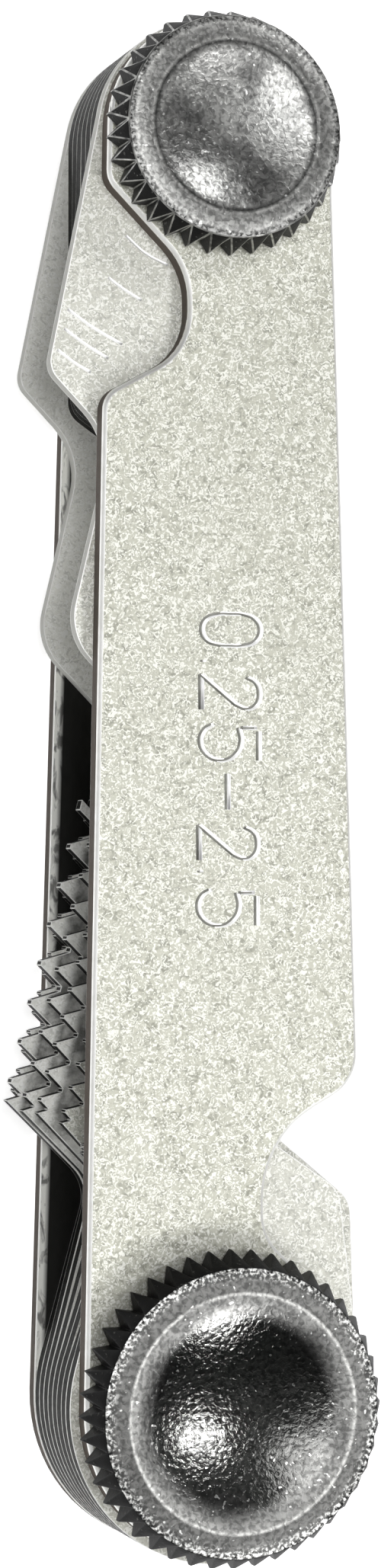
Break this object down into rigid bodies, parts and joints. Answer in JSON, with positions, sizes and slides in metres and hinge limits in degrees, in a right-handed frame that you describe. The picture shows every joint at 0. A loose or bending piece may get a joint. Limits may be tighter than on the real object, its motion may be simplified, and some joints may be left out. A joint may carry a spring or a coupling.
{
  "type": "folding screw pitch gauge",
  "caption": "Pocket screw thread pitch gauge: a tapered two-plate steel case with toothed leaves that fan out at each end, clamped by knurled dished thumb screws.",
  "frame": {"origin": "on the back plate's rear face, midway between the two pivots", "axes": "+Z out of the front plate towards the thumb screws, +Y towards the small end with the fine pitches, +X to the right when the front faces you"},
  "size_m": [0.0217, 0.0952, 0.0129],
  "materials": {
    "plate_steel": "satin, rounded bright edges",
    "leaf_steel": "satin faces, bright cut edges",
    "screw_nickel": "polished dish, knurled rim",
    "post_steel": "turned"
  },
  "bodies": {
    "case": {"back_plate": "plate_steel", "front_plate": "plate_steel", "pivot_post_large": "post_steel", "pivot_post_small": "post_steel"},
    "thumb_screw_large_turning": {"thumb_screw_large": "screw_nickel"},
    "leaf_1_25_swinging": {"leaf_1_25": "leaf_steel"},
    "leaf_2_50_swinging": {"leaf_2_50": "leaf_steel"},
    "leaf_2_00_swinging": {"leaf_2_00": "leaf_steel"},
    "leaf_1_75_swinging": {"leaf_1_75": "leaf_steel"},
    "leaf_1_50_swinging": {"leaf_1_50": "leaf_steel"},
    "leaf_1_00_swinging": {"leaf_1_00": "leaf_steel"},
    "leaf_0_80_swinging": {"leaf_0_80": "leaf_steel"},
    "leaf_0_75_swinging": {"leaf_0_75": "leaf_steel"},
    "thumb_screw_small_turning": {"thumb_screw_small": "screw_nickel"},
    "leaf_0_70_swinging": {"leaf_0_70": "leaf_steel"},
    "leaf_0_60_swinging": {"leaf_0_60": "leaf_steel"},
    "leaf_0_50_swinging": {"leaf_0_50": "leaf_steel"},
    "leaf_0_45_swinging": {"leaf_0_45": "leaf_steel"},
    "leaf_0_40_swinging": {"leaf_0_40": "leaf_steel"},
    "leaf_0_35_swinging": {"leaf_0_35": "leaf_steel"},
    "leaf_0_30_swinging": {"leaf_0_30": "leaf_steel"},
    "leaf_0_25_swinging": {"leaf_0_25": "leaf_steel"}
  },
  "joints": [
    {"name": "thumb_screw_large_turn", "type": "hinge", "parent": "case", "child": "thumb_screw_large_turning", "pos_m": [0, -0.03895, 0.006], "axis": [0, 0, 1], "range_deg": [0, 180]},
    {"name": "leaf_1_25_swing", "type": "hinge", "parent": "case", "child": "leaf_1_25_swinging", "pos_m": [0, -0.03895, 0.006], "axis": [0, 0, 1], "range_deg": [0, 180]},
    {"name": "leaf_2_50_swing", "type": "hinge", "parent": "case", "child": "leaf_2_50_swinging", "pos_m": [0, -0.03895, 0.006], "axis": [0, 0, 1], "range_deg": [0, 180]},
    {"name": "leaf_2_00_swing", "type": "hinge", "parent": "case", "child": "leaf_2_00_swinging", "pos_m": [0, -0.03895, 0.006], "axis": [0, 0, 1], "range_deg": [0, 180]},
    {"name": "leaf_1_75_swing", "type": "hinge", "parent": "case", "child": "leaf_1_75_swinging", "pos_m": [0, -0.03895, 0.006], "axis": [0, 0, 1], "range_deg": [0, 180]},
    {"name": "leaf_1_50_swing", "type": "hinge", "parent": "case", "child": "leaf_1_50_swinging", "pos_m": [0, -0.03895, 0.006], "axis": [0, 0, 1], "range_deg": [0, 180]},
    {"name": "leaf_1_00_swing", "type": "hinge", "parent": "case", "child": "leaf_1_00_swinging", "pos_m": [0, -0.03895, 0.006], "axis": [0, 0, 1], "range_deg": [0, 180]},
    {"name": "leaf_0_80_swing", "type": "hinge", "parent": "case", "child": "leaf_0_80_swinging", "pos_m": [0, -0.03895, 0.006], "axis": [0, 0, 1], "range_deg": [0, 180]},
    {"name": "leaf_0_75_swing", "type": "hinge", "parent": "case", "child": "leaf_0_75_swinging", "pos_m": [0, -0.03895, 0.006], "axis": [0, 0, 1], "range_deg": [0, 180]},
    {"name": "thumb_screw_small_turn", "type": "hinge", "parent": "case", "child": "thumb_screw_small_turning", "pos_m": [0, 0.03895, 0.006], "axis": [0, 0, 1], "range_deg": [0, 180]},
    {"name": "leaf_0_70_swing", "type": "hinge", "parent": "case", "child": "leaf_0_70_swinging", "pos_m": [0, 0.03895, 0.006], "axis": [0, 0, 1], "range_deg": [0, 180]},
    {"name": "leaf_0_60_swing", "type": "hinge", "parent": "case", "child": "leaf_0_60_swinging", "pos_m": [0, 0.03895, 0.006], "axis": [0, 0, 1], "range_deg": [0, 180]},
    {"name": "leaf_0_50_swing", "type": "hinge", "parent": "case", "child": "leaf_0_50_swinging", "pos_m": [0, 0.03895, 0.006], "axis": [0, 0, 1], "range_deg": [0, 180]},
    {"name": "leaf_0_45_swing", "type": "hinge", "parent": "case", "child": "leaf_0_45_swinging", "pos_m": [0, 0.03895, 0.006], "axis": [0, 0, 1], "range_deg": [0, 180]},
    {"name": "leaf_0_40_swing", "type": "hinge", "parent": "case", "child": "leaf_0_40_swinging", "pos_m": [0, 0.03895, 0.006], "axis": [0, 0, 1], "range_deg": [0, 180]},
    {"name": "leaf_0_35_swing", "type": "hinge", "parent": "case", "child": "leaf_0_35_swinging", "pos_m": [0, 0.03895, 0.006], "axis": [0, 0, 1], "range_deg": [0, 180]},
    {"name": "leaf_0_30_swing", "type": "hinge", "parent": "case", "child": "leaf_0_30_swinging", "pos_m": [0, 0.03895, 0.006], "axis": [0, 0, 1], "range_deg": [0, 180]},
    {"name": "leaf_0_25_swing", "type": "hinge", "parent": "case", "child": "leaf_0_25_swinging", "pos_m": [0, 0.03895, 0.006], "axis": [0, 0, 1], "range_deg": [0, 180]}
  ]
}
